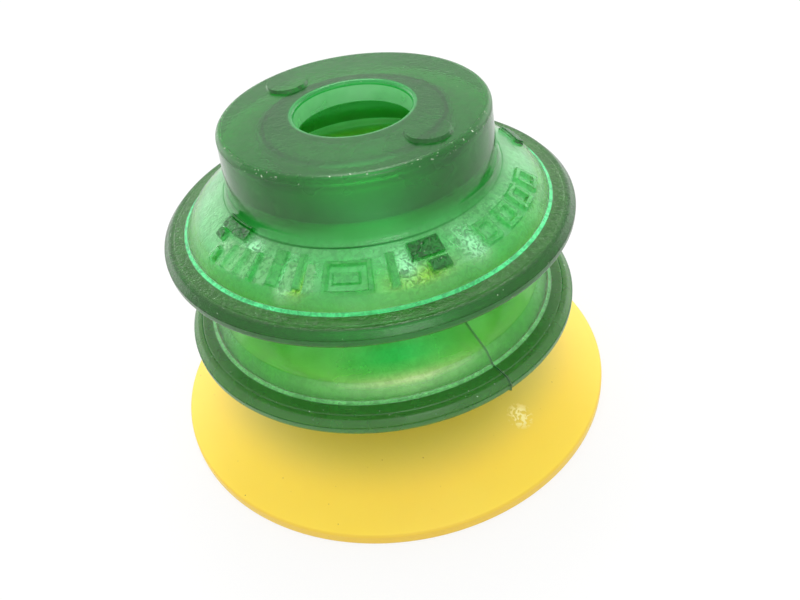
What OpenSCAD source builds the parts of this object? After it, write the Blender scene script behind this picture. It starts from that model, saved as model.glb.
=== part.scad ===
// Bellows suction cup moulded in two shots.
// The firm green body is one hollow revolved wall: the neck, the upper fold and the top half
// of the lower fold. The soft yellow lip is bonded under the lower bead, closes the lower fold
// and flares out to the sealing edge.
// The origin is the centre of the sealing edge, and +Z is the cup's axis.

/* [Overall] */
// Height from the sealing edge to the face of the neck
height = 26.8; // [26:0.2:29]
// Thickness of the folded walls, square to their surface
wall_t = 1.5; // [1.2:0.1:1.6]

/* [Neck] */
// Outer diameter of the neck at its face
neck_d = 20.3; // [19.6:0.1:20.6]
// Diameter of the hole that the fitting snaps into
bore_d = 8.8; // [7:0.1:10]
// Thickness of the flange that the fitting grips
flange_t = 1.7; // [1.4:0.1:2.2]
// Diameter of the pocket behind the flange
pocket_d = 14.6; // [13.4:0.2:15]
// Diameter of the two round pads on the face
pad_d = 3.8; // [3:0.1:4.4]
// Height of the pads
pad_h = 0.25; // [0.1:0.05:0.4]

/* [Folds] */
// Outer diameter over the beads
bead_d = 32.4; // [32:0.1:33]
// Radial width of a bead
bead_w = 1.9; // [1.8:0.05:2.1]
// Height of a bead at its shoulder
bead_h = 1.32; // [1.26:0.02:1.5]
// Distance from one fold to the next
fold_pitch = 8.42; // [8.3:0.02:8.8]
// Slope of a fold's upper side
side_slope = 31.5; // [30:0.5:33]
// Slope of the short skirt between that side and the bead
skirt_slope = 50; // [46:1:54]
// Radial width of the skirt
skirt_w = 1.05; // [0.9:0.05:1.2]
// Slope of a fold's underside
under_slope = 35; // [34:0.5:36]

/* [Lip] */
// Diameter of the sealing edge
lip_d = 38; // [37:0.5:42]
// Height of the plane where the lip is bonded to the body
bond_z = 9.3; // [9.2:0.05:9.5]
// Thickness of the lip at its edge
lip_edge_t = 1; // [0.8:0.1:1.2]
// Width of the flat ring that seals
seal_w = 0.8; // [0.5:0.1:1.2]

/* [Hidden] */
$fn = 96;

BODY_COLOUR = [0.27, 0.62, 0.34];
LIP_COLOUR = [0.98, 0.86, 0.33];

// Radii of the roundings
NECK_EDGE_R = 0.45;
NECK_ROOT_R = 0.7;
POCKET_R = 0.6;
BORE_EDGE_R = 0.3;
SHOULDER_R = 0.2;
BEAD_TOP_R = 0.75;
BEAD_BOTTOM_R = 0.35;
SKIRT_R = 1;
WAIST_R = 0.6;
TIP_R = 0.35;
LIP_EDGE_R = 0.25;

// Overlap of parts that are joined or cut, and how far a web reaches past its corner
EPS = 0.01;
WEB_REACH = 0.15;

// Widening of the neck from its face to its root
NECK_DRAFT = 0.2;
// Drop of a bead's top from its shoulder to its rim
BEAD_FALL = 0.22;
// Width of a bead's flat underside
BEAD_FLAT = 0.9;

// The two pads stand opposite each other on the face
PAD_RING_R = 7.5;
PAD_ANGLE = -48;

neck_r = neck_d / 2;
bore_r = bore_d / 2;
pocket_r = pocket_d / 2;
bead_r = bead_d / 2;
lip_r = lip_d / 2;
shoulder_r = bead_r - bead_w;
pocket_top = height - flange_t;

// Height of each bead's underside
lower_z = bond_z;
upper_z = bond_z + fold_pitch;

// A line of the section is [height on the axis, slope], and a point is [radius, height]
function line_through(point, slope) = [point[1] - slope * point[0], slope];
function line_between(a, b) = line_through(a, (b[1] - a[1]) / (b[0] - a[0]));
function crossing(a, b) =
    let (r = (a[0] - b[0]) / (b[1] - a[1]))
    [r, a[0] + a[1] * r];
function at_radius(line, r) = [r, line[0] + line[1] * r];
function at_height(line, z) = [(z - line[0]) / line[1], z];
function raised(line, thickness) = [line[0] + thickness * sqrt(1 + line[1] ^ 2), line[1]];

// The three sides of a fold outside, from the underside of its bead
function shoulder(z) = [shoulder_r, z + bead_h];
function skirt(z) = line_through(shoulder(z), -tan(skirt_slope));
function side(z) = line_through(at_radius(skirt(z), shoulder_r - skirt_w), -tan(side_slope));
function underside(z) = line_through([bead_r - BEAD_FLAT, z], tan(under_slope));

// The same sides inside
function skirt_in(z) = raised(skirt(z), -wall_t);
function side_in(z) = raised(side(z), -wall_t);
function underside_in(z) = raised(underside(z), wall_t);

// The lip's upper face starts at a waist like the one between the folds
waist = crossing(underside(upper_z), side(lower_z));
lip_waist = at_radius(underside(lower_z), waist[0]);
lip_top = line_between(lip_waist, [lip_r, lip_edge_t]);
lip_under = line_between(at_radius(raised(lip_top, -wall_t), waist[0]), [lip_r - seal_w, 0]);

function unit(v) = v / norm(v);
function turn(u, v) = u[0] * v[1] - u[1] * v[0];

// A corner is [point, radius of its rounding]
function sharp(point) = [point, 0];

// The sliver between a corner and the circle that touches both of its sides
module corner_web(before, corner, after, radius) {
    to_before = unit(before - corner);
    to_after = unit(after - corner);
    half = acos(to_before * to_after) / 2;
    inward = unit(to_before + to_after);
    centre = corner + inward * radius / sin(half);
    touch = radius / tan(half);
    difference() {
        polygon([
            centre,
            corner + to_after * touch,
            corner - inward * WEB_REACH,
            corner + to_before * touch
        ]);
        translate(centre) circle(r = radius);
    }
}

// A polygon of corners, listed anticlockwise.
// Hollow corners are filled to their radius, and full ones are cut to theirs.
module rounded_polygon(corners) {
    count = len(corners);
    rounded = [for (i = [0 : count - 1]) if (corners[i][1] > 0) i];
    function point(i) = corners[(i + count) % count][0];
    function is_full(i) = turn(point(i) - point(i - 1), point(i + 1) - point(i)) > 0;
    difference() {
        union() {
            polygon([for (corner = corners) corner[0]]);
            for (i = rounded)
                if (!is_full(i)) corner_web(point(i - 1), point(i), point(i + 1), corners[i][1]);
        }
        for (i = rounded)
            if (is_full(i)) corner_web(point(i - 1), point(i), point(i + 1), corners[i][1]);
    }
}

// Corners of a fold outside, from its bead up to the turn below its upper side
function fold_outside(z) = [
    [[bead_r, z], BEAD_BOTTOM_R],
    [[bead_r, z + bead_h - BEAD_FALL], BEAD_TOP_R],
    [shoulder(z), SHOULDER_R],
    [crossing(skirt(z), side(z)), SKIRT_R]
];

module body_outside() {
    rounded_polygon(concat(
        [sharp([0, bond_z])],
        fold_outside(lower_z),
        [
            [waist, WAIST_R],
            sharp([bead_r - BEAD_FLAT, upper_z])
        ],
        fold_outside(upper_z),
        [
            [at_radius(side(upper_z), neck_r + NECK_DRAFT), NECK_ROOT_R],
            [[neck_r, height], NECK_EDGE_R],
            sharp([0, height])
        ]
    ));
}

// Corners of a fold inside, from its tip up to the turn below its upper side
function fold_inside(z) = [
    [crossing(underside_in(z), skirt_in(z)), TIP_R],
    [crossing(skirt_in(z), side_in(z)), SKIRT_R]
];

module body_inside() {
    rounded_polygon(concat(
        [
            sharp([0, bond_z - EPS]),
            sharp(at_height(underside_in(lower_z), bond_z - EPS))
        ],
        fold_inside(lower_z),
        [[crossing(underside_in(upper_z), side_in(lower_z)), WAIST_R + wall_t]],
        fold_inside(upper_z),
        [
            sharp(at_radius(side_in(upper_z), pocket_r)),
            [[pocket_r, pocket_top], POCKET_R],
            sharp([0, pocket_top])
        ]
    ));
}

// The hole for the fitting, eased at its rim
module bore() {
    translate([0, 0, pocket_top - EPS])
        cylinder(r = bore_r, h = flange_t + 2 * EPS);
    translate([0, 0, height])
        rotate_extrude()
            difference() {
                translate([0, -BORE_EDGE_R]) square([bore_r + BORE_EDGE_R, BORE_EDGE_R + EPS]);
                translate([bore_r + BORE_EDGE_R, -BORE_EDGE_R]) circle(r = BORE_EDGE_R);
            }
}

module face_pads() {
    for (angle = [PAD_ANGLE, PAD_ANGLE + 180])
        rotate([0, 0, angle])
            translate([PAD_RING_R, 0, height - EPS])
                cylinder(d = pad_d, h = pad_h + EPS);
}

module bellows_body() {
    color(BODY_COLOUR) {
        difference() {
            rotate_extrude()
                difference() {
                    body_outside();
                    body_inside();
                }
            bore();
        }
        face_pads();
    }
}

module sealing_lip() {
    color(LIP_COLOUR)
        rotate_extrude()
            rounded_polygon([
                sharp(at_height(underside_in(lower_z), bond_z)),
                [crossing(underside_in(lower_z), lip_under), WAIST_R + wall_t],
                sharp(at_height(lip_under, 0)),
                [[lip_r, 0], LIP_EDGE_R],
                [[lip_r, lip_edge_t], LIP_EDGE_R],
                [lip_waist, WAIST_R],
                sharp([bead_r - BEAD_FLAT, bond_z])
            ]);
}

bellows_body();
sealing_lip();
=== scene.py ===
"""Looks of a bellows suction cup moulded in two shots of polyurethane.

The firm translucent green body and the soft opaque yellow lip are revolved from rounded
sections by Geometry Nodes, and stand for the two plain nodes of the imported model. The moulded
marks, the pads and the mould seam are raised on the body's own skin, because a clear moulding
would show the inner faces of anything laid over it.

Sizes are in mm and angles in degrees, unless a comment says otherwise.
"""

import logging
import math
from dataclasses import dataclass, field
from enum import Enum
from functools import partial
from typing import NamedTuple

import bmesh
import bpy
from mathutils import Matrix, Vector


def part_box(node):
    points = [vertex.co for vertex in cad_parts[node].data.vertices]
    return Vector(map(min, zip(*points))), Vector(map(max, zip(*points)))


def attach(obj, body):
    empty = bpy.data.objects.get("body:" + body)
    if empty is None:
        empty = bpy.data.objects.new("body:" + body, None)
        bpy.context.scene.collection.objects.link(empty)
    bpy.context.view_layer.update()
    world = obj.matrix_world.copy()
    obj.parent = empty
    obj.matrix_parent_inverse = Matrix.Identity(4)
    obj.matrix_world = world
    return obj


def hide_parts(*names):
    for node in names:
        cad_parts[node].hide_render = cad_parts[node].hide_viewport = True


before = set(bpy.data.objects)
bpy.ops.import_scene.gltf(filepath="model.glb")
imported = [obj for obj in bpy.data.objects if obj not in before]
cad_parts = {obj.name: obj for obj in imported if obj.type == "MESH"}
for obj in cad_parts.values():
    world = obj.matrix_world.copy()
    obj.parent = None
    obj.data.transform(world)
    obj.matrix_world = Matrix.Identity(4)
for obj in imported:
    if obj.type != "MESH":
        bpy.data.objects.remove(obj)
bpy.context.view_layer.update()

MM = 0.001
BODY = "root"
# Names of the two attributes that carry the look of each zone of the body's skin
MAKE = "skin_make"
TINT = "skin_tint"
# Width over which the look of a corner fades into the side beside it
BORDER = 0.07
# Distance within which a point lies on a side, and the step that probes a mark's edge
TOUCH = 0.001
PROBE = 0.01
# How squarely the skin must face outwards to take a soft patch or the seam
FACING = 0.3
# Share of a soft patch that is too faint to paint
FAINT = 0.02
# Angle past which an edge of a moulding is shaded sharp
SHARP = 40.0
# The node types that are used most
MATH = "ShaderNodeMath"
VECTOR_MATH = "ShaderNodeVectorMath"
MAP_RANGE = "ShaderNodeMapRange"
NOISE = "ShaderNodeTexNoise"
MIX = "ShaderNodeMix"
LOG = logging.getLogger("suction_cup")

Material = bpy.types.Material
Mesh = bpy.types.Mesh
Node = bpy.types.Node
Piece = bpy.types.Object
Socket = bpy.types.NodeSocket
Tree = bpy.types.NodeTree


# ---- nodes and colours


def linear(code: str) -> tuple[float, float, float, float]:
    """Turn an sRGB hex colour into a linear one.

    Args:
        code: The colour as six hex digits after a hash.

    Returns:
        Its linear red, green, blue and an alpha of 1.
    """
    channels = []
    for start in (1, 3, 5):
        value = int(code[start:start + 2], 16) / 255
        channels.append(value / 12.92 if value <= 0.04045 else ((value + 0.055) / 1.055) ** 2.4)
    return (*channels, 1.0)


def feed(tree: Tree, node: Node, inputs: dict) -> None:
    """Set a node's inputs.

    Args:
        tree: The node's tree.
        node: The node.
        inputs: For each input by its name or number, its value or the socket that feeds it. A
            node stands for its own first socket.
    """
    for key, value in inputs.items():
        if isinstance(value, Node):
            value = value.outputs[0]
        if isinstance(value, Socket):
            tree.links.new(value, node.inputs[key])
        else:
            node.inputs[key].default_value = value


def add_node(
    tree: Tree, kind: str, settings: dict | None = None, inputs: dict | None = None
) -> Node:
    """Add a node to a tree with its settings, values and links.

    Args:
        tree: The tree that the node joins.
        kind: The node's type name.
        settings: Properties of the node and their values.
        inputs: What its inputs are fed with.

    Returns:
        The new node.
    """
    node = tree.nodes.new(kind)
    for name, value in (settings or {}).items():
        setattr(node, name, value)
    feed(tree, node, inputs or {})
    return node


def new_material(name: str) -> tuple[Material, Node, Node]:
    """Make an empty node material.

    Args:
        name: The material's name.

    Returns:
        The material, its Principled shader and its output node, already linked.
    """
    material = bpy.data.materials.new(name)
    material.use_nodes = True
    tree = material.node_tree
    tree.nodes.clear()
    shader = add_node(tree, "ShaderNodeBsdfPrincipled")
    return material, shader, add_node(tree, "ShaderNodeOutputMaterial", inputs={"Surface": shader})


class Ramp(NamedTuple):
    """A range of values, and the range that it is stretched to."""

    low: float
    high: float
    start: float = 0.0
    end: float = 1.0

    def inputs(self, value: Node | Socket) -> dict[str, object]:
        """Return the inputs of the node that stretches a value."""
        names = ("Value", "From Min", "From Max", "To Min", "To Max")
        return dict(zip(names, (value, *self)))


class Pattern(NamedTuple):
    """A noise in a finish: the width of its features in mm, and how its finer layers lie."""

    size: float
    detail: float = 2.0
    roughness: float = 0.5
    distortion: float = 0.0

    def inputs(self, place: Socket) -> dict[str, object]:
        """Return the inputs of the node that draws it."""
        names = ("Vector", "Scale", "Detail", "Roughness", "Distortion")
        return dict(zip(names, (place, 1 / (self.size * MM), *self[1:])))


# ---- the section


class Point(NamedTuple):
    """A point of the section: its radius and its height."""

    radius: float
    height: float


class Zone(Enum):
    """Zones of the body's skin: milk, frost, ripple and wear, then the tint.

    Milk is the share of light that the skin scatters back, frost its roughness, ripple how
    crumpled it is, and wear how many scuffs it carries. The tint colours what it scatters or
    lets through. Several zones are painted light or shade, as their comments say.
    """

    NECK = (0.16, 0.12, 0.0, 0.1, "#349248")
    # Painted light: a lighter column down the neck's front
    NECK_FRONT_LIGHT = (0.3, 0.12, 0.0, 0.0, "#48dc6c")
    EDGE = (0.2, 0.28, 0.0, 0.95, "#3a9048")
    # Painted shade: a dark line in the crease round the neck's root
    CREASE_SHADE = (0.35, 0.3, 0.0, 0.0, "#1f6a30")
    ROOT = (0.25, 0.12, 0.0, 0.0, "#5cd47c")
    FACE = (0.22, 0.2, 0.12, 0.2, "#268838")
    # Painted highlight: a bright ring round the hole's rim
    RIM_HIGHLIGHT = (0.4, 0.2, 0.0, 0.2, "#48d070")
    BORE = (0.65, 0.25, 0.0, 0.0, "#b8ffc8")
    FLANGE = (0.1, 0.2, 0.0, 0.0, "#a8f0b8")
    POCKET = (0.4, 0.3, 0.0, 0.0, "#8ce49c")
    # Painted shade of the pocket seen through the face: its darker rounded and flat top, and a painted
    # lighter front
    POCKET_RING_SHADE = (0.6, 0.3, 0.0, 0.0, "#4c5a30")
    POCKET_TOP_SHADE = (0.38, 0.3, 0.0, 0.0, "#60904c")
    POCKET_FRONT_LIGHT = (0.35, 0.3, 0.0, 0.0, "#90f4a4")
    SIDE = (0.05, 0.06, 0.12, 0.1, "#e8fbec")
    # Painted sheen on the upper fold, and a crumpled band that also carries a painted sheen
    SHEEN = (0.38, 0.1, 0.3, 0.1, "#a0ffb4")
    CRUMPLED_SHEEN = (0.3, 0.1, 0.9, 0.1, "#94f8a4")
    SKIRT = (0.04, 0.12, 0.2, 0.1, "#d8f8c8")
    PANEL = (0.24, 0.25, 0.7, 0.1, "#ccfccc")
    # Painted glints, mint and yellow-green
    GLINT = (0.75, 0.1, 1.0, 0.1, "#b0ffc4")
    SUN_GLINT = (0.45, 0.1, 0.8, 0.1, "#bced3f")
    MARK = (0.14, 0.25, 0.4, 0.3, "#a4f0b0")
    DARK_MARK = (0.24, 0.3, 1.0, 0.3, "#2f7f3e")
    SEAM = (0.5, 0.3, 0.0, 0.0, "#1f5a2c")
    BEAD = (0.3, 0.2, 0.15, 0.25, "#246e1c")
    # Painted highlight: the upper bead's top, lighter than the bead
    BEAD_TOP_HIGHLIGHT = (0.35, 0.22, 0.35, 0.3, "#4c8a3a")
    LOW_BEAD = (0.5, 0.26, 0.08, 0.3, "#4a9244")
    # Painted highlights: bright lines at the shoulders of the two folds
    SHOULDER_HIGHLIGHT = (0.75, 0.3, 0.6, 0.0, "#60ffa4")
    LOW_SHOULDER_HIGHLIGHT = (0.6, 0.3, 0.4, 0.0, "#8cf090")
    INSIDE = (0.9, 0.4, 0.0, 0.0, "#b4fccc")
    # In the lower fold, the yellow in the tints of LOWER_SIDE and LOWER is painted light that the yellow
    # lip throws in, and LOWER_SHEEN and LOWER_SHINE are painted highlights
    LOWER_SIDE = (0.12, 0.06, 0.06, 0.1, "#d4fc98")
    LOWER_SHEEN = (0.5, 0.08, 0.1, 0.1, "#50ff84")
    LOWER_SHINE = (0.7, 0.1, 0.2, 0.1, "#e8ffb0")
    LOWER = (0.95, 0.4, 0.0, 0.0, "#ccff80")

    @property
    def make(self) -> tuple[float, float, float, float]:
        """Milk, frost, ripple and wear."""
        return self.value[:4]

    @property
    def tint(self) -> tuple[float, float, float, float]:
        """Linear tint."""
        return linear(self.value[4])


class Station(NamedTuple):
    """A point laid on the outline, and the zone of the skin there."""

    radius: float
    height: float
    zone: Zone


@dataclass(frozen=True)
class Line:
    """A straight side of the section."""

    start: float  # Height at which the line meets the axis
    slope: float  # Rise for each mm of radius

    @classmethod
    def through(cls, point: Point, slope: float) -> "Line":
        """Return the line through a point with a given slope."""
        return cls(point.height - slope * point.radius, slope)

    @classmethod
    def between(cls, a: Point, b: Point) -> "Line":
        """Return the line through two points."""
        return cls.through(a, (b.height - a.height) / (b.radius - a.radius))

    def at_radius(self, radius: float) -> Point:
        """Return the line's point at a radius."""
        return Point(radius, self.start + self.slope * radius)

    def at_height(self, height: float) -> Point:
        """Return the line's point at a height."""
        return Point((height - self.start) / self.slope, height)

    def raised(self, thickness: float) -> "Line":
        """Return the parallel line at a distance above this one, or below it if negative."""
        return Line(self.start + thickness * math.hypot(1, self.slope), self.slope)

    def crossing(self, other: "Line") -> Point:
        """Return the point where this line crosses another."""
        return self.at_radius((self.start - other.start) / (other.slope - self.slope))


@dataclass(frozen=True)
class Corner:
    """A corner of the section."""

    point: Point  # Where the two sides would meet
    zone: Zone = Zone.NECK  # Zone of the skin at the corner
    rounding: float = 0.0  # Radius that eases the corner
    side: Zone | None = None  # Zone along the side that follows, where it isn't the corner's own
    spacing: float = math.inf  # Greatest distance between points on the side that follows


def rounded_outline(corners: list[Corner], turn_deg: float) -> list[Station]:
    """Lay points along a closed outline of straight sides and round corners.

    Args:
        corners: The corners in order.
        turn_deg: Greatest turn between two points of a round corner.

    Returns:
        The outline's stations in order, without the first one repeated.
    """
    stretches = []
    for i, corner in enumerate(corners):
        here = Vector(corner.point)
        to_before = (Vector(corners[i - 1].point) - here).normalized()
        to_after = (Vector(corners[(i + 1) % len(corners)].point) - here).normalized()
        if corner.rounding == 0:
            stretches.append([here])
            continue
        half = to_before.angle(to_after) / 2
        inward = (to_before + to_after).normalized()
        centre = here + inward * corner.rounding / math.sin(half)
        sweep = math.pi - 2 * half
        steps = max(2, math.ceil(math.degrees(sweep) / turn_deg))
        across = (to_after - to_before).normalized()
        stretches.append([
            centre + corner.rounding * (across * math.sin(turn) - inward * math.cos(turn))
            for turn in (sweep * (k / steps - 0.5) for k in range(steps + 1))
        ])
    stations = []
    for i, stretch in enumerate(stretches):
        start, end = stretch[-1], stretches[(i + 1) % len(stretches)][0]
        corner = corners[i]
        length = (end - start).length
        parts = max(1, math.ceil(length / corner.spacing))
        steps = [k * length / parts for k in range(1, parts)]
        # A side shorter than four borders has no room for a look of its own.
        if corner.side and length > 4 * BORDER:
            steps = [BORDER, *(step for step in steps if BORDER < step < length - BORDER)]
            steps.append(length - BORDER)
        stations += [Station(*point, corner.zone) for point in stretch]
        stations += [
            Station(*start.lerp(end, step / length), corner.side or corner.zone) for step in steps
        ]
    return stations


# ---- the revolved skin


def paint_point(mesh: Mesh, index: int, zone: Zone) -> None:
    """Give one point of a skin the look of a zone."""
    mesh.attributes[MAKE].data[index].color = zone.make
    mesh.attributes[TINT].data[index].color = zone.tint


def turn_from(azimuth: float, place: Vector) -> float:
    """Return the angle from an azimuth in degrees to a place, in radians and within half a turn."""
    turn = math.atan2(place.y, place.x) - math.radians(azimuth)
    return (turn + math.pi) % math.tau - math.pi


class Revolver:
    """A Geometry Nodes tree that sweeps a section round the axis."""

    def __init__(self) -> None:
        """Build the tree with its named inputs."""
        self.tree = bpy.data.node_groups.new("revolve_section", "GeometryNodeTree")
        add = partial(add_node, self.tree)
        face = self.tree.interface
        face.new_socket("Section", in_out="INPUT", socket_type="NodeSocketGeometry")
        self.sockets = {
            name: face.new_socket(name, in_out="INPUT", socket_type=kind).identifier
            for name, kind in (
                ("Segments", "NodeSocketInt"),
                ("Path Radius", "NodeSocketFloat"),
                ("Material", "NodeSocketMaterial"),
            )
        }
        face.new_socket("Skin", in_out="OUTPUT", socket_type="NodeSocketGeometry")
        given = add("NodeGroupInput").outputs
        path = add("GeometryNodeCurvePrimitiveCircle", inputs={
            "Resolution": given["Segments"], "Radius": given["Path Radius"],
        })
        section = add("GeometryNodeMeshToCurve", inputs={"Mesh": given["Section"]})
        inset = add(MATH, {"operation": "MULTIPLY"}, {0: given["Path Radius"], 1: -1.0})
        # The sweep turns a section's second axis downwards, so the section is turned over first.
        placed = add("GeometryNodeTransform", inputs={
            "Geometry": section,
            "Translation": add("ShaderNodeCombineXYZ", inputs={"X": inset}),
            "Scale": (1, -1, 1),
        })
        swept = add("GeometryNodeCurveToMesh", inputs={"Curve": path, "Profile Curve": placed})
        real = add("GeometryNodeRealizeInstances", inputs={"Geometry": swept})
        dressed = add("GeometryNodeSetMaterial", inputs={
            "Geometry": real, "Material": given["Material"],
        })
        add("NodeGroupOutput", inputs={"Skin": dressed})

    def revolve(
        self, name: str, outline: list[Station], segments: int, material: Material
    ) -> Piece:
        """Sweep a closed outline round the axis.

        Args:
            name: Name of the piece.
            outline: The section's stations.
            segments: Number of steps round the axis.
            material: The piece's material.

        Returns:
            The piece, as a plain mesh with its faces pointing out.
        """
        count = len(outline)
        mesh = bpy.data.meshes.new(name)
        mesh.from_pydata(
            [(point.radius * MM, point.height * MM, 0) for point in outline],
            [(i, (i + 1) % count) for i in range(count)],
            [],
        )
        for layer in (MAKE, TINT):
            mesh.attributes.new(layer, "FLOAT_COLOR", "POINT")
        for i, point in enumerate(outline):
            paint_point(mesh, i, point.zone)
        piece = bpy.data.objects.new(name, mesh)
        bpy.context.scene.collection.objects.link(piece)
        modifier = piece.modifiers.new("revolve", "NODES")
        modifier.node_group = self.tree
        modifier[self.sockets["Segments"]] = segments
        modifier[self.sockets["Path Radius"]] = min(point.radius for point in outline) * MM
        modifier[self.sockets["Material"]] = material
        evaluated = piece.evaluated_get(bpy.context.evaluated_depsgraph_get())
        skin = bpy.data.meshes.new_from_object(evaluated)
        piece.modifiers.remove(modifier)
        piece.data = skin
        bpy.data.meshes.remove(mesh)
        skin.name = name
        work = bmesh.new()
        work.from_mesh(skin)
        bmesh.ops.recalc_face_normals(work, faces=work.faces)
        work.to_mesh(skin)
        work.free()
        skin.shade_smooth()
        return piece


# ---- marks raised on the skin


class Form(Enum):
    """Outline of a raised mark."""

    BAR = "bar"
    DISC = "disc"
    FRAME = "frame"


@dataclass(frozen=True)
class Mark:
    """A plain mark raised on the skin."""

    form: Form  # Its outline
    azimuth: float  # Where its centre lies round the axis
    radius: float  # Distance of its centre from the axis
    width: float  # Size round the axis
    length: float  # Size down the slope
    rise: float  # Height above the skin
    stroke: float = 0.35  # Width of the line of a frame
    wall: float = 0.1  # Width of the slope at its edge
    zone: Zone | None = None  # Look of its raised skin, where it differs

    def place_of(self, radius: float, turn: float, tilt: float) -> tuple[float, float]:
        """Turn a place on the skin into one in the mark's own frame.

        Args:
            radius: Distance from the axis.
            turn: Angle round the axis from the mark's centre, in radians.
            tilt: Cosine of the skin's slope.

        Returns:
            The place round the axis and down the slope from the mark's centre.
        """
        if self.form is Form.DISC:
            return radius * math.sin(turn), (radius * math.cos(turn) - self.radius) / tilt
        return turn * self.radius, (radius - self.radius) / tilt

    def skin_place(self, across: float, along: float, tilt: float) -> tuple[float, float]:
        """Turn a place in the mark's own frame back into one on the skin.

        Args:
            across: Place round the axis from the mark's centre.
            along: Place down the slope from the mark's centre.
            tilt: Cosine of the skin's slope.

        Returns:
            The distance from the axis in mm, and the angle from the mark's centre in radians.
        """
        spread = self.radius + along * tilt
        if self.form is Form.DISC:
            return math.hypot(across, spread), math.atan2(across, spread)
        return spread, across / self.radius

    def distance(self, across: float, along: float) -> float:
        """Return how far a point lies outside the mark's outline.

        Args:
            across: Place round the axis from the mark's centre.
            along: Place down the slope from the mark's centre.

        Returns:
            The distance in mm, negative inside.
        """
        if self.form is Form.DISC:
            return math.hypot(across, along) - self.width / 2
        over = (abs(across) - self.width / 2, abs(along) - self.length / 2)
        edge = math.hypot(max(over[0], 0), max(over[1], 0)) + min(max(over), 0)
        if self.form is Form.FRAME:
            return abs(edge + self.stroke / 2) - self.stroke / 2
        return edge


@dataclass(frozen=True)
class Skin:
    """A conical or flat stretch of the skin that carries marks."""

    line: Line  # The stretch's line in the section
    inner: float  # Its least radius
    outer: float  # Its greatest radius
    grid: float  # Spacing of its points

    def raise_marks(self, mesh: Mesh, marks: list[Mark]) -> None:
        """Lift the skin's points under each mark, with crisp edges.

        Points near a mark's edge are first moved on to the foot or the top of its wall.

        Args:
            mesh: The revolved mesh.
            marks: The marks on this stretch. The first of two that overlap shows.
        """
        tilt = math.cos(math.atan(self.line.slope))
        normal = Vector((-self.line.slope, 1)).normalized()
        for vertex in mesh.vertices:
            radius = math.hypot(vertex.co.x, vertex.co.y) / MM
            if not self.inner <= radius <= self.outer:
                continue
            if abs(self.line.at_radius(radius).height - vertex.co.z / MM) > TOUCH:
                continue
            for mark in marks:
                offset = turn_from(mark.azimuth, vertex.co)
                if abs(offset) > (max(mark.width, mark.length) + self.grid) / radius:
                    continue
                across, along = mark.place_of(radius, offset, tilt)
                edge = mark.distance(across, along)
                if edge > mark.wall / 2 + self.grid / 2:
                    continue
                if abs(edge) < mark.wall / 2 + self.grid / 2:
                    goal = math.copysign(mark.wall / 2, edge)
                    slope_across = (mark.distance(across + PROBE, along) - edge) / PROBE
                    slope_along = (mark.distance(across, along + PROBE) - edge) / PROBE
                    across += slope_across * (goal - edge)
                    along += slope_along * (goal - edge)
                    edge = goal
                lift = mark.rise * min(max(0.5 - edge / mark.wall, 0), 1)
                new_radius, new_offset = mark.skin_place(across, along, tilt)
                turn = math.radians(mark.azimuth) + new_offset
                height = self.line.at_radius(new_radius).height + normal[1] * lift
                new_radius += normal[0] * lift
                vertex.co = Vector((
                    new_radius * math.cos(turn), new_radius * math.sin(turn), height
                )) * MM
                if mark.zone and lift > 0:
                    paint_point(mesh, vertex.index, mark.zone)
                break


@dataclass(frozen=True)
class Glow:
    """A soft patch of painted light or shade on the skin; one band is also more crumpled."""

    zone: Zone  # Look of the skin at its middle
    azimuth: float  # Where its middle lies round the axis
    spread: float  # Angle from its middle at which it has faded to a third
    height: float  # Height of its middle
    reach: float  # Height from its middle at which it has faded to a third
    inside: bool = False  # Whether it lies on the inner skin and not on the outer one

    def paint(self, mesh: Mesh) -> None:
        """Blend the patch into the skin.

        Args:
            mesh: The skin.
        """
        layers = [
            (mesh.attributes[MAKE].data, self.zone.make),
            (mesh.attributes[TINT].data, self.zone.tint),
        ]
        for vertex in mesh.vertices:
            rise = (vertex.co.z / MM - self.height) / self.reach
            facing = vertex.normal.xy.dot(vertex.co.xy.normalized())
            if self.inside:
                facing = max(-facing, -vertex.normal.z)
            if facing < FACING:
                continue
            turn = math.degrees(turn_from(self.azimuth, vertex.co)) / self.spread
            share = math.exp(-(turn ** 2) - rise ** 2)
            if share < FAINT:
                continue
            for data, goal in layers:
                old = data[vertex.index].color
                data[vertex.index].color = [a + (b - a) * share for a, b in zip(old, goal)]


@dataclass(frozen=True)
class Seam:
    """A thin line left across the lower fold where the mould closes."""

    azimuth: float = -58.0  # Where it lies round the axis
    width: float = 0.3  # Width at its foot
    rise: float = 0.14  # Height above the skin
    top: float = 5.0  # How far it runs up from the lower bead

    def raise_on(self, mesh: Mesh, segments: int, base: float) -> None:
        """Lift one row of the skin's points and draw its neighbours in.

        Args:
            mesh: The revolved mesh.
            segments: Steps of the mesh round the axis.
            base: Height of the lower bead's underside.
        """
        centre = math.radians(self.azimuth)
        normals = [vertex.normal.copy() for vertex in mesh.vertices]
        for vertex, normal in zip(mesh.vertices, normals):
            row = round(turn_from(self.azimuth, vertex.co) * segments / math.tau)
            facing = normal.xy.dot(vertex.co.xy.normalized()) + normal.z
            if abs(row) > 1 or vertex.co.z / MM > base + self.top or facing < FACING:
                continue
            radius = vertex.co.xy.length
            turn = centre + row * self.width / 2 * MM / radius
            vertex.co.xy = Vector((math.cos(turn), math.sin(turn))) * radius
            if row == 0:
                vertex.co += normal * self.rise * MM
                paint_point(mesh, vertex.index, Zone.SEAM)


# ---- finishes


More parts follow.
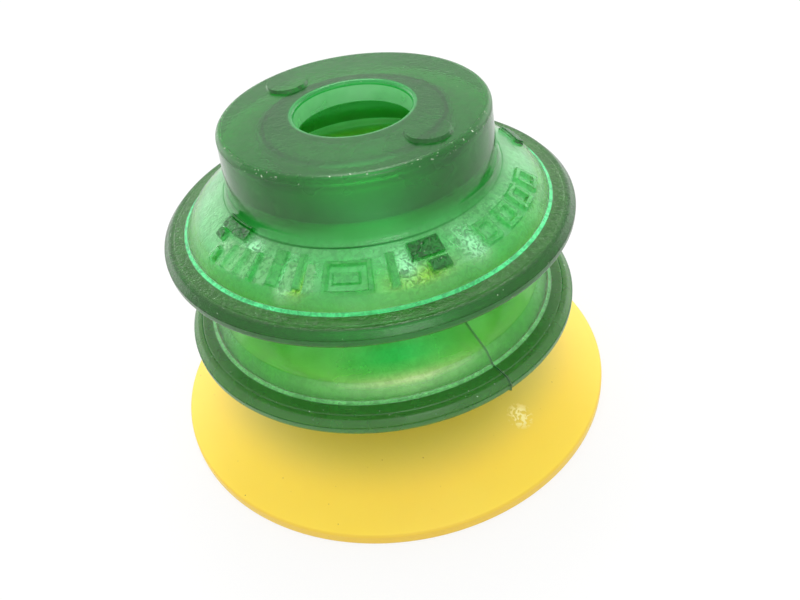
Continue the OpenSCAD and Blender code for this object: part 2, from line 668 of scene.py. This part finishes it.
@dataclass(frozen=True)
class GreenPolyurethane:
    """Clear green polyurethane, injection moulded against a polished steel mould.

    It gives the eye a deep bottle green where it is thick and a bright mint where it is thin,
    with a soft gloss that is a little uneven from cooling.
    """

    name: str = "Moulded Translucent Green Polyurethane"
    ior: float = 1.47
    # Light lost in each mm of wall, for red, green and blue
    loss: tuple[float, float, float] = (0.44, 0.02, 0.27)
    # Colour of a scuff, and the milk that it adds
    scuff: str = "#dcecd4"
    scuff_milk: float = 0.7
    # The patterns of its cloudiness, specks of wear, ripples, sink marks and moulding grain
    cloud: Pattern = Pattern(2.5)
    speck: Pattern = Pattern(0.2, roughness=0.7)
    crumple: Pattern = Pattern(0.4, distortion=1.2)
    sink: Pattern = Pattern(1.8)
    grain: Pattern = Pattern(0.35)
    # What the cloudiness adds to the frost and times the milk by, and what full ripples add to the
    # tint as painted shade in their hollows and painted highlight on their crests
    gloss_swing: Ramp = Ramp(0.3, 0.7, -0.04, 0.04)
    milk_swing: Ramp = Ramp(0.35, 0.65, 1.05, 0.75)
    ripple_shading: Ramp = Ramp(0.4, 0.6, -0.5, 0.5)
    # Level that a speck rises over on unworn skin, how far full wear lowers it, and its edge
    speck_level: float = 0.76
    wear_drop: float = 0.12
    speck_edge: Ramp = Ramp(0.0, 0.03)
    # Depth of a full ripple in mm, and the depths of the other two as shares of it
    crumple_depth: float = 0.22
    sink_depth: float = 0.14
    grain_depth: float = 0.01

    def build(self) -> Material:
        """Make the material.

        Returns:
            The finished material.
        """
        material, shader, output = new_material(self.name)
        tree = material.node_tree
        add = partial(add_node, tree)
        place = add("ShaderNodeTexCoord").outputs["Object"]
        make = add("ShaderNodeAttribute", {"attribute_name": MAKE}).outputs
        tint = add("ShaderNodeAttribute", {"attribute_name": TINT}).outputs["Color"]
        milk, frost, ripple = add("ShaderNodeSeparateXYZ", inputs={0: make["Color"]}).outputs
        cloud, grit, creases, sinks, grain = (
            add(NOISE, inputs=pattern.inputs(place))
            for pattern in (self.cloud, self.speck, self.crumple, self.sink, self.grain)
        )
        level = add(MATH, {"operation": "MULTIPLY_ADD"}, {
            0: make["Alpha"], 1: -self.wear_drop, 2: self.speck_level,
        })
        above = add(MATH, {"operation": "SUBTRACT"}, {0: grit, 1: level})
        swing, patch, contrast, specks = (
            add(MAP_RANGE, inputs=ramp.inputs(value))
            for ramp, value in (
                (self.gloss_swing, cloud), (self.milk_swing, cloud),
                (self.ripple_shading, creases), (self.speck_edge, above),
            )
        )
        scuffed = add(MIX, {"data_type": "RGBA"}, {0: specks, 6: tint, 7: linear(self.scuff)})
        # The tint is darkened in the ripples' hollows and lightened on their crests, as painted shade and
        # highlight
        shading = add(MATH, {"operation": "MULTIPLY_ADD"}, {0: contrast, 1: ripple, 2: 1.0})
        ripple_shaded = add(VECTOR_MATH, {"operation": "SCALE"}, {
            0: scuffed.outputs[2], "Scale": shading,
        })
        patchy = add(MATH, {"operation": "MULTIPLY"}, {0: milk, 1: patch})
        chalky = add(MATH, {"operation": "MULTIPLY_ADD", "use_clamp": True}, {
            0: specks, 1: self.scuff_milk, 2: patchy,
        })
        height = add(MATH, {"operation": "MULTIPLY"}, {0: creases, 1: ripple})
        for noise, depth in ((sinks, self.sink_depth), (grain, self.grain_depth)):
            height = add(MATH, {"operation": "MULTIPLY_ADD"}, {0: noise, 1: depth, 2: height})
        feed(tree, shader, {
            "Base Color": ripple_shaded,
            "Roughness": add(MATH, {"operation": "ADD"}, {0: frost, 1: swing}),
            "Transmission Weight": add(MATH, {"operation": "SUBTRACT"}, {0: 1.0, 1: chalky}),
            "IOR": self.ior,
            "Normal": add("ShaderNodeBump", inputs={
                "Height": height, "Strength": 1.0, "Distance": self.crumple_depth * MM,
            }),
        })
        strongest = max(self.loss)
        feed(tree, output, {"Volume": add("ShaderNodeVolumeAbsorption", inputs={
            "Color": (*(1 - loss / strongest for loss in self.loss), 1.0),
            "Density": strongest / MM,
        })})
        return material


@dataclass(frozen=True)
class YellowPolyurethane:
    """Opaque yellow polyurethane of a soft grade, moulded with a satin skin.

    It gives the eye an even warm yellow with a soft sheen, and light spreads a little under
    its skin, so its thin edge stays bright.
    """

    name: str = "Moulded Soft Yellow Polyurethane"
    light: str = "#fcde46"
    deep: str = "#f8d640"
    # Painted shade: the green-tinted shadow that the body casts on the lip next to it, and how it
    # fades with the radius in mm
    green_shade: str = "#d2c858"
    green_shade_fade: Ramp = Ramp(12.5, 16.8, 1.0, 0.0)
    # Colour of the cut edge, and the radii in mm where it starts
    rim: str = "#f0ca42"
    rim_start: Ramp = Ramp(18.8, 18.95)
    # Colour of the specks of dust, and how high their pattern rises under them
    dust: str = "#a88c38"
    dust_level: Ramp = Ramp(0.86, 0.88)
    # Where the lip was pinched, how far its scuff reaches in mm, and how its lines are drawn. The
    # scuff's pale colour is a painted highlight of its crumpled lines; the polish that it gives is real
    scuff: str = "#fff4a8"
    scuff_at: tuple[float, float, float] = (9.8, -10.8, 3.1)
    scuff_reach: float = 1.2
    scuff_level: Ramp = Ramp(0.46, 0.54)
    # The patterns of its cloudiness, dust, scuffed lines and satin grain
    cloud: Pattern = Pattern(5.0, 3.0)
    speck: Pattern = Pattern(0.3, 0.0)
    crumple: Pattern = Pattern(0.5, 1.0, distortion=1.5)
    grain: Pattern = Pattern(0.25)
    ior: float = 1.48
    roughness: float = 0.38
    # What a scuff takes off the roughness
    polish: float = 0.2
    # How much light spreads under the skin, how far in mm, and its red, green and blue shares
    spread: float = 0.3
    spread_reach: float = 1.2
    spread_colour: tuple[float, float, float] = (1.0, 0.85, 0.2)
    grain_depth: float = 0.02
    grain_strength: float = 0.3

    def build(self) -> Material:
        """Make the material.

        Returns:
            The finished material.
        """
        material, shader, _ = new_material(self.name)
        tree = material.node_tree
        add = partial(add_node, tree)
        place = add("ShaderNodeTexCoord").outputs["Object"]
        cloud, grit, crumple, grain = (
            add(NOISE, inputs=pattern.inputs(place))
            for pattern in (self.cloud, self.speck, self.crumple, self.grain)
        )
        flat = add(VECTOR_MATH, {"operation": "MULTIPLY"}, {0: place, 1: (1 / MM, 1 / MM, 0)})
        radius = add(VECTOR_MATH, {"operation": "LENGTH"}, {0: flat}).outputs["Value"]
        # The painted green shade, strongest near the body, and the cut edge, fade with the radius
        green_shaded, rimmed = (
            add(MAP_RANGE, {"interpolation_type": "SMOOTHSTEP"}, ramp.inputs(radius))
            for ramp in (self.green_shade_fade, self.rim_start)
        )
        away = add(VECTOR_MATH, {"operation": "DISTANCE"}, {
            0: place, 1: Vector(self.scuff_at) * MM,
        }).outputs["Value"]
        handled = Ramp(self.scuff_reach / 2 * MM, self.scuff_reach * MM, 1.0, 0.0)
        near, line, specks = (
            add(MAP_RANGE, inputs=ramp.inputs(value))
            for ramp, value in (
                (handled, away), (self.scuff_level, crumple), (self.dust_level, grit),
            )
        )
        # The scuff's lines near the pinch: pale as a painted highlight, and less rough as a real polish
        scuffs = add(MATH, {"operation": "MULTIPLY"}, {0: near, 1: line})
        colour = linear(self.light)
        # Over the light yellow go the random deeper tone, the painted green shade, the cut edge, the dust
        # and the scuffs
        for share, shade in (
            (cloud, self.deep), (green_shaded, self.green_shade), (rimmed, self.rim),
            (specks, self.dust), (scuffs, self.scuff),
        ):
            colour = add(MIX, {"data_type": "RGBA"}, {
                0: share, 6: colour, 7: linear(shade),
            }).outputs[2]
        feed(tree, shader, {
            "Base Color": colour,
            "Roughness": add(MATH, {"operation": "MULTIPLY_ADD"}, {
                0: scuffs, 1: -self.polish, 2: self.roughness,
            }),
            "IOR": self.ior,
            "Subsurface Weight": self.spread,
            "Subsurface Radius": self.spread_colour,
            "Subsurface Scale": self.spread_reach * MM,
            "Normal": add("ShaderNodeBump", inputs={
                "Height": grain, "Strength": self.grain_strength, "Distance": self.grain_depth * MM,
            }),
        })
        return material


# ---- the two mouldings


@dataclass(frozen=True)
class Fold:
    """Sizes of one fold and its bead."""

    base: float  # Height of the bead's underside
    bead: float  # Radius over the bead
    score: float = 0.03  # Depth of the fine lines round the bead
    side_zone: Zone = Zone.SIDE  # Look of the outer side
    bead_zone: Zone = Zone.BEAD  # Look of the bead
    # On the upper fold the bead's top is tinted lighter, as a painted highlight
    top_zone: Zone = Zone.BEAD_TOP_HIGHLIGHT  # Look of the bead's top
    # The corner between the bead and the skirt carries a painted bright highlight line
    shoulder_highlight_zone: Zone = Zone.SHOULDER_HIGHLIGHT  # Look of the corner between the bead and the skirt
    bead_width: float = 1.9  # Radial width of the bead
    bead_height: float = 1.32  # Height of the bead at its shoulder
    bead_fall: float = 0.22  # Drop of the bead's top from its shoulder to its rim
    bead_flat: float = 0.5  # Width of the bead's flat underside
    bead_ease: float = 0.42  # Distance from the rim at which the bead's top starts to turn down
    bead_round: float = 0.35  # Rounding of the bead's rim and of the fold's tip inside
    parting: float = 0.7  # Height of the parting line over the underside
    ring: float = 0.85  # Distance of the line on the bead's top from the rim
    ring_half: float = 0.06  # Half that line's width
    shoulder_round: float = 0.28  # Rounding of the shoulder
    skirt_round: float = 1.0  # Rounding of the turn over the skirt
    skirt_width: float = 1.05  # Radial width of the short steep skirt over the bead
    skirt_shown: float = 0.7  # The same outside, where the upper side runs a little further down
    side_slope: float = 31.5  # Slope of the upper side
    skirt_slope: float = 50.0  # Slope of the skirt
    under_slope: float = 35.0  # Slope of the underside
    wall: float = 1.5  # Thickness of the wall, square to its sides

    @property
    def shoulder(self) -> Point:
        """Corner between the bead's top and the skirt."""
        return Point(self.bead - self.bead_width, self.base + self.bead_height)

    @property
    def skirt(self) -> Line:
        """The short steep side over the bead."""
        return Line.through(self.shoulder, -math.tan(math.radians(self.skirt_slope)))

    @property
    def side(self) -> Line:
        """The long upper side."""
        turn = self.skirt.at_radius(self.shoulder.radius - self.skirt_width)
        return Line.through(turn, -math.tan(math.radians(self.side_slope)))

    @property
    def heel(self) -> Point:
        """Inner end of the bead's flat underside."""
        return Point(self.bead - self.bead_flat, self.base)

    @property
    def underside(self) -> Line:
        """The underside, which rises outwards to the heel."""
        return Line.through(self.heel, math.tan(math.radians(self.under_slope)))

    def outside(self, spacing: float) -> list[Corner]:
        """Return the corners outside, from the bead up to the turn above the skirt.

        Args:
            spacing: Spacing of the points on the upper side.

        Returns:
            The corners in order.
        """
        rim = Point(self.bead, self.base + self.bead_height - self.bead_fall)
        top = Line.between(rim, self.shoulder)
        ring = self.bead - self.ring
        # The mould's halves meet with a fine step: inset in scores, then height in mm.
        parting = [
            Point(self.bead - inset * self.score, self.base + self.parting + rise)
            for inset, rise in ((0, -0.04), (2, 0), (1, 0.06))
        ]
        return [
            Corner(Point(self.bead, self.base), self.bead_zone, self.bead_round),
            *(Corner(point, self.bead_zone) for point in parting),
            Corner(top.at_radius(self.bead - self.bead_ease), self.bead_zone, self.bead_round),
            Corner(top.at_radius(ring + self.ring_half), self.top_zone),
            Corner(top.raised(-self.score).at_radius(ring), self.top_zone),
            Corner(top.at_radius(ring - self.ring_half), self.top_zone, side=self.top_zone),
            Corner(self.shoulder, self.shoulder_highlight_zone, self.shoulder_round, Zone.SKIRT),
            Corner(
                self.side.at_radius(self.shoulder.radius - self.skirt_shown),
                Zone.SKIRT, self.skirt_round, self.side_zone, spacing,
            ),
        ]

    def inside(self, zone: Zone) -> list[Corner]:
        """Return the corners inside, from the tip up to the turn above it.

        Args:
            zone: Zone of the skin above the tip.

        Returns:
            The corners in order.
        """
        skirt = self.skirt.raised(-self.wall)
        tip = self.underside.raised(self.wall).crossing(skirt)
        turn = skirt.crossing(self.side.raised(-self.wall))
        return [Corner(tip, Zone.LOWER, self.bead_round), Corner(turn, zone, self.skirt_round)]


@dataclass
class BellowsBody:
    """The green moulding: neck, upper fold and the top half of the lower fold."""

    node: str = "bellows_body"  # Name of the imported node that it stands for
    finish: GreenPolyurethane = field(default_factory=GreenPolyurethane)  # Its material
    pitch: float = 8.42  # Distance from one fold to the next
    waist_round: float = 0.6  # Rounding of the waist between them
    heel_round: float = 0.4  # Rounding of the upper bead's underside at its inner end
    neck: float = 10.15  # Radius of the neck at its face
    neck_draft: float = 0.2  # Widening of the neck down to its root
    edge_round: float = 0.45  # Rounding of the neck's edge
    root_round: float = 0.5  # Rounding of its root
    crease: float = 0.35  # Distance from the root of the fine line round it
    crease_depth: float = 0.03  # Depth of that line
    bore: float = 4.4  # Radius of the hole
    rim_round: float = 0.3  # Rounding of the hole's rim
    flange: float = 1.7  # Thickness round the hole
    pocket: float = 7.3  # Radius of the pocket under the flange
    pocket_round: float = 0.6  # Rounding at the pocket's top
    pad_ring: float = 7.4  # Distance of the pads from the axis
    pad_width: float = 3.3  # Diameter of a pad
    pad_rise: float = 0.25  # Height of a pad
    pad_azimuth: float = -48.0  # Where the pads lie round the axis
    mark_rise: float = 0.3  # Height of the raised marks
    # The upper fold's glints and the lower fold's shine are painted highlights
    glint_radius: float = 13.2  # Distance from the axis of the upper fold's glints
    shine_radius: float = 13.6  # Distance from the axis of the lower fold's shine
    segments: int = 480  # Steps round the axis
    grid: float = 0.15  # Spacing of the points where marks are raised
    coarse: float = 0.75  # Spacing of the points on the lower fold's side
    turn_step: float = 15.0  # Greatest turn between two points of a rounding

    def __post_init__(self) -> None:
        """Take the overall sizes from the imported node."""
        low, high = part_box(self.node)
        self.bond = low.z / MM
        self.face = high.z / MM - self.pad_rise
        bead = high.x / MM
        self.lower = Fold(
            self.bond, bead, 0.05,
            Zone.LOWER_SIDE, Zone.LOW_BEAD, Zone.LOW_BEAD, Zone.LOW_SHOULDER_HIGHLIGHT,
        )
        self.upper = Fold(self.bond + self.pitch, bead)

    @property
    def root(self) -> Point:
        """Corner where the neck meets the upper fold."""
        return self.upper.side.at_radius(self.neck + self.neck_draft)

    @property
    def crease_foot(self) -> Point:
        """Bottom of the fine line round the neck's root."""
        return self.upper.side.raised(-self.crease_depth).at_radius(self.root.radius + self.crease)

    @property
    def pocket_top(self) -> float:
        """Height of the flange's underside."""
        return self.face - self.flange

    def inside(self) -> list[Corner]:
        """Return the section's corners inside, from the bond up to the hole.

        Returns:
            The corners in order.
        """
        lower, upper, wall = self.lower, self.upper, self.lower.wall
        side = upper.side.raised(-wall)
        waist = upper.underside.raised(wall).crossing(lower.side.raised(-wall))
        top = Point(self.pocket, self.pocket_top)
        # Here and outside, the corners on a straight side only part one look from the next.
        return [
            Corner(lower.underside.raised(wall).at_height(self.bond), Zone.LOWER),
            *lower.inside(Zone.LOWER),
            Corner(waist, Zone.INSIDE, self.waist_round + wall),
            *upper.inside(Zone.INSIDE),
            Corner(side.at_radius(self.pocket + 0.3), Zone.INSIDE),
            Corner(side.at_radius(self.pocket), Zone.POCKET),
            # The pocket's rounded and flat top are painted darker, as the shade that shows through the face
            Corner(top, Zone.POCKET_RING_SHADE, self.pocket_round, Zone.POCKET_TOP_SHADE),
            Corner(Point(self.bore, self.pocket_top), Zone.FLANGE, side=Zone.FLANGE),
        ]

    def outside(self) -> list[Corner]:
        """Return the section's corners outside, from the lower bead up to the face.

        Returns:
            The corners in order.
        """
        lower, upper, root = self.lower, self.upper, self.root
        return [
            *lower.outside(self.coarse),
            Corner(upper.underside.crossing(lower.side), Zone.LOWER_SIDE, self.waist_round),
            Corner(upper.heel, Zone.BEAD, self.heel_round),
            *upper.outside(self.grid),
            # The crease round the neck's root, from its outer edge over its foot to its inner one
            Corner(upper.side.at_radius(root.radius + self.crease + 0.07), Zone.SIDE),
            Corner(self.crease_foot, Zone.ROOT),
            Corner(upper.side.at_radius(root.radius + self.crease - 0.06), Zone.ROOT),
            Corner(root, Zone.ROOT, self.root_round),
            Corner(Point(root.radius - 0.01, root.height + 1.0), Zone.NECK),
            Corner(Point(self.neck, self.face - 0.6), Zone.NECK),
            Corner(Point(self.neck, self.face), Zone.EDGE, self.edge_round, Zone.FACE, self.grid),
            Corner(Point(self.bore + 1.2, self.face), Zone.FACE),
            Corner(Point(self.bore + 0.4, self.face), Zone.FACE),
        ]

    def outline(self) -> list[Station]:
        """Return the section's outline, anticlockwise from the rim of the hole."""
        # The hole's rim carries a painted bright highlight ring
        rim = Corner(Point(self.bore, self.face), Zone.RIM_HIGHLIGHT, self.rim_round, Zone.BORE)
        return rounded_outline([rim, *reversed(self.inside()), *self.outside()], self.turn_step)

    def marks(self) -> list[Mark]:
        """Return the plain raised marks on the upper fold.

        Returns:
            The marks, the topmost first where two overlap.
        """
        # Azimuth in degrees, then distance from the axis, width and length in mm
        places = {
            Zone.MARK: (
                (-147, 13.2, 0.5, 1.4), (-141, 12.8, 0.35, 2.0), (-135, 12.7, 0.35, 2.2),
                (-129.5, 12.6, 0.35, 2.2), (-121, 12.3, 0.9, 2.6), (-113, 12.3, 0.5, 2.5),
                (-84, 12.4, 0.6, 2.4),
            ),
            Zone.DARK_MARK: (
                (-72, 11.7, 2.4, 1.3), (-69.5, 12.9, 1.5, 0.9), (-146, 11.0, 3.0, 1.1),
                (-151, 11.9, 1.0, 0.7), (17, 12.9, 2.8, 0.8),
            ),
        }
        bars = [
            Mark(Form.BAR, *place, self.mark_rise, zone=zone)
            for zone, group in places.items()
            for place in group
        ]
        plate = [
            Mark(Form.FRAME, -98, 12.6, 3.4, 2.5, self.mark_rise, zone=Zone.MARK),
            Mark(Form.BAR, -98, 12.6, 1.8, 0.8, 0.2, zone=Zone.MARK),
            Mark(Form.BAR, -129, 12.9, 9.2, 2.7, 0.06, zone=Zone.PANEL),
        ]
        tokens = [
            Mark(Form.FRAME, azimuth, 12.45, 1.7, 1.9, 0.25, 0.42, 0.12, Zone.MARK)
            for azimuth in (-50, -39, -28, -17)
        ]
        return bars + plate + tokens

    def glows(self) -> list[Glow]:
        """Return the soft patches of painted light and shade on the pocket, the neck and the folds.

        Returns:
            The patches in the order in which they are painted.
        """
        turn = self.upper.side.at_radius(self.glint_radius).height
        foot = self.lower.side.at_radius(self.shine_radius).height
        return [
            # Painted light: the pocket's top is lighter at the front, seen through the face
            Glow(Zone.POCKET_FRONT_LIGHT, -92, 44, self.pocket_top - 0.3, 0.7, inside=True),
            # Painted shade where the neck meets the upper fold, right and left
            Glow(Zone.NECK, -22, 34, self.root.height, 0.45),
            Glow(Zone.NECK, -160, 26, self.root.height, 0.4),
            # A crumpled band with a painted sheen
            Glow(Zone.CRUMPLED_SHEEN, -90, 70, turn + 0.8, 0.7),
            # A painted lighter column down the neck's front
            Glow(Zone.NECK_FRONT_LIGHT, -88, 20, self.face - 3.6, 4),
            # Painted sheen and shine on the lower fold
            Glow(Zone.LOWER_SHEEN, -87, 26, foot + 1.1, 1.0),
            Glow(Zone.LOWER_SHINE, -85, 20, foot + 0.05, 0.3),
            # Painted sheen and glints on the upper fold
            Glow(Zone.SHEEN, -88, 26, turn + 1.0, 0.8),
            Glow(Zone.SUN_GLINT, -77, 11, turn, 0.45),
            Glow(Zone.GLINT, -80, 4, turn + 0.5, 0.6),
            Glow(Zone.GLINT, -57, 4, turn + 0.4, 0.7),
            Glow(Zone.GLINT, -117, 2.5, turn + 0.2, 0.7),
            Glow(Zone.SUN_GLINT, -113, 3, turn, 0.5),
            Glow(Zone.GLINT, -134, 4, turn + 0.9, 0.5),
            # Painted shade: a dark line in the crease round the neck's root
            Glow(Zone.CREASE_SHADE, -100, 45, self.crease_foot.height, 0.03),
        ]

    def build(self, revolver: Revolver) -> Piece:
        """Build the moulding and dress it.

        Args:
            revolver: The tree that sweeps sections.

        Returns:
            The finished piece.
        """
        outline = self.outline()
        piece = revolver.revolve("body_moulding", outline, self.segments, self.finish.build())
        face = Skin(Line(self.face, 0), self.bore, self.neck, self.grid)
        face.raise_marks(piece.data, [
            Mark(Form.DISC, azimuth, self.pad_ring, self.pad_width, self.pad_width, self.pad_rise)
            for azimuth in (self.pad_azimuth, self.pad_azimuth + 180)
        ])
        for glow in self.glows():
            glow.paint(piece.data)
        side = Skin(self.upper.side, self.neck, self.upper.shoulder.radius, self.grid)
        side.raise_marks(piece.data, self.marks())
        Seam().raise_on(piece.data, self.segments, self.bond)
        piece.data.set_sharp_from_angle(angle=math.radians(SHARP))
        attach(piece, BODY)
        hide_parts(self.node)
        return piece


@dataclass
class SealingLip:
    """The yellow moulding: the lower half of the lower fold, flaring to the sealing edge."""

    node: str = "sealing_lip"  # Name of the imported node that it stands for
    finish: YellowPolyurethane = field(default_factory=YellowPolyurethane)  # Its material
    edge: float = 1.0  # Thickness at the edge
    edge_round: float = 0.25  # Rounding of the edge's two corners
    seal: float = 0.8  # Width of the flat ring that seals
    sink: float = 0.02  # How far its bonded face reaches into the body, so that no gap shows
    grid: float = 0.5  # Spacing of the points on its upper face
    turn_step: float = 10.0  # Greatest turn between two points of a rounding
    segments: int = 384  # Steps round the axis

    def outline(self, body: BellowsBody) -> list[Station]:
        """Return the section's outline.

        Args:
            body: The moulding that the lip is bonded to.

        Returns:
            The stations in order.
        """
        fold = body.lower
        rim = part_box(self.node)[1].x / MM
        waist = fold.underside.at_radius(body.upper.underside.crossing(fold.side).radius)
        top = Line.between(waist, Point(rim, self.edge))
        hollow = top.raised(-fold.wall).at_radius(waist.radius)
        under = Line.between(hollow, Point(rim - self.seal, 0))
        inner = fold.underside.raised(fold.wall)
        bond = body.bond + self.sink
        return rounded_outline([
            Corner(inner.at_height(bond)),
            Corner(inner.crossing(under), rounding=body.waist_round + fold.wall),
            Corner(under.at_height(0)),
            Corner(Point(rim, 0), rounding=self.edge_round),
            Corner(Point(rim, self.edge), rounding=self.edge_round, spacing=self.grid),
            Corner(waist, rounding=body.waist_round),
            Corner(fold.underside.at_height(body.bond)),
            Corner(Point(fold.heel.radius, bond)),
        ], self.turn_step)

    def build(self, revolver: Revolver, body: BellowsBody) -> Piece:
        """Build the lip and dress it.

        Args:
            revolver: The tree that sweeps sections.
            body: The moulding that the lip is bonded to.

        Returns:
            The finished piece.
        """
        outline = self.outline(body)
        piece = revolver.revolve("lip_moulding", outline, self.segments, self.finish.build())
        piece.data.set_sharp_from_angle(angle=math.radians(SHARP))
        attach(piece, BODY)
        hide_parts(self.node)
        return piece


# ---- studio


@dataclass(frozen=True)
class Softbox:
    """A square lamp with an even face."""

    place: tuple[float, float, float]  # Where it hangs
    size: float  # Length of its side
    power: float  # Its power, in watts

    def build(self, name: str, aim: Vector) -> None:
        """Hang the lamp and turn it to the object.

        Args:
            name: The lamp's name.
            aim: The point that it faces, in metres.
        """
        lamp = bpy.data.lights.new(name, "AREA")
        lamp.size = self.size * MM
        lamp.energy = self.power
        holder = bpy.data.objects.new(name, lamp)
        holder.location = Vector(self.place) * MM
        holder.rotation_euler = (aim - holder.location).to_track_quat("-Z", "Y").to_euler()
        bpy.context.scene.collection.objects.link(holder)


@dataclass
class Studio:
    """The camera, the pale floor, the white surroundings and the lamps."""

    eye: tuple[float, float, float] = (1.471, -53.199, 51.432)  # Where the camera stands
    # The point beside the axis that it looks at
    target: tuple[float, float, float] = (1.471, 0.0, 8.136)
    roll: float = 8.057  # How far it is turned about its own axis
    lens: float = 35.06  # Focal length
    sensor: float = 36.0  # Width of its sensor
    sight: tuple[float, float] = (1.0, 10000.0)  # Nearest and furthest distance that it sees
    floor_size: float = 1500.0  # Length of the floor's side
    floor_colour: str = "#f4f4f4"  # Colour of the floor
    floor_white: float = 0.8  # How much of the floor the eye sees as plain white
    light_from: tuple[float, float, float] = (-0.1, 0.5, 0.85)  # Where the surroundings give the most light
    surround: Ramp = Ramp(0.1, 0.95, 0.76, 1.3)  # How their light grows from the far side to there
    aim: float = 12.0  # Height of the point that the lamps face
    # The lamps
    lamps: tuple[Softbox, ...] = (
        Softbox((40, -150, 215), 100, 0.06),
        Softbox((0, 150, 258), 90, 0.13),
        Softbox((-300, 250, 80), 300, 0.3),
        Softbox((300, 250, 80), 300, 0.3),
    )

    def camera(self) -> None:
        """Set up the camera."""
        data = bpy.data.cameras.new("camera")
        data.lens = self.lens
        data.sensor_width = self.sensor
        data.clip_start, data.clip_end = (distance * MM for distance in self.sight)
        holder = bpy.data.objects.new("camera", data)
        eye = Vector(self.eye) * MM
        look = Vector(self.target) * MM - eye
        turn = look.to_track_quat("-Z", "Y").to_matrix().to_4x4()
        turn @= Matrix.Rotation(math.radians(-self.roll), 4, "Z")
        holder.matrix_world = Matrix.Translation(eye) @ turn
        bpy.context.scene.collection.objects.link(holder)
        bpy.context.scene.camera = holder

    @staticmethod
    def seen(tree: Tree) -> Node:
        """Say whether a ray comes from the eye, straight or through gloss or clear walls.

        Args:
            tree: The tree that asks.

        Returns:
            A node that gives 1 for such a ray and 0 for one that only carries light.
        """
        path = add_node(tree, "ShaderNodeLightPath").outputs
        share = path["Is Camera Ray"]
        for kind in ("Is Glossy Ray", "Is Transmission Ray"):
            share = add_node(tree, MATH, {"operation": "MAXIMUM"}, {0: share, 1: path[kind]})
        return share

    def world(self) -> None:
        """Make the surroundings: plain white to the eye, softer as a light."""
        world = bpy.data.worlds.new("white_surround")
        world.use_nodes = True
        tree = world.node_tree
        tree.nodes.clear()
        add = partial(add_node, tree)
        way = add(VECTOR_MATH, {"operation": "DOT_PRODUCT"}, {
            0: add("ShaderNodeTexCoord").outputs["Generated"],
            1: Vector(self.light_from).normalized(),
        })
        ramp = self.surround.inputs(way.outputs["Value"])
        sky = add(MAP_RANGE, {"interpolation_type": "SMOOTHSTEP"}, ramp)
        strength = add(MIX, {"data_type": "FLOAT"}, {0: self.seen(tree), 2: sky, 3: 1.0})
        glow = add("ShaderNodeBackground", inputs={"Color": (1, 1, 1, 1), "Strength": strength})
        add("ShaderNodeOutputWorld", inputs={"Surface": glow})
        bpy.context.scene.world = world

    def floor(self) -> None:
        """Lay the floor, which takes the object's soft shadow.

        It is matt white paper, which gives the eye an even white without a shine or a horizon.
        """
        half = self.floor_size * MM / 2
        mesh = bpy.data.meshes.new("floor")
        mesh.from_pydata(
            [(-half, -half, 0), (half, -half, 0), (half, half, 0), (-half, half, 0)],
            [], [(0, 1, 2, 3)],
        )
        material, shader, output = new_material("Matt White Paper Backdrop")
        tree = material.node_tree
        add = partial(add_node, tree)
        feed(tree, shader, {
            "Base Color": linear(self.floor_colour),
            "Roughness": 1.0,
            "Specular IOR Level": 0.0,
        })
        share = add(MATH, {"operation": "MULTIPLY"}, {0: self.seen(tree), 1: self.floor_white})
        white = add("ShaderNodeEmission", inputs={"Color": (1, 1, 1, 1), "Strength": 1.0})
        mixed = add("ShaderNodeMixShader", inputs={0: share, 1: shader, 2: white})
        feed(tree, output, {"Surface": mixed})
        mesh.materials.append(material)
        plane = bpy.data.objects.new("floor", mesh)
        bpy.context.scene.collection.objects.link(plane)

    def build(self) -> None:
        """Set the whole studio up."""
        self.camera()
        self.world()
        self.floor()
        for i, lamp in enumerate(self.lamps):
            lamp.build(f"softbox_{i}", Vector((0, 0, self.aim * MM)))
        bpy.context.scene.view_settings.view_transform = "Standard"


def main() -> None:
    """Build the studio and the two pieces."""
    logging.basicConfig(level=logging.INFO)
    Studio().build()
    revolver = Revolver()
    body = BellowsBody()
    for piece in (body.build(revolver), SealingLip().build(revolver, body)):
        LOG.info("%s: %d faces", piece.name, len(piece.data.polygons))


if __name__ == "__main__":
    main()
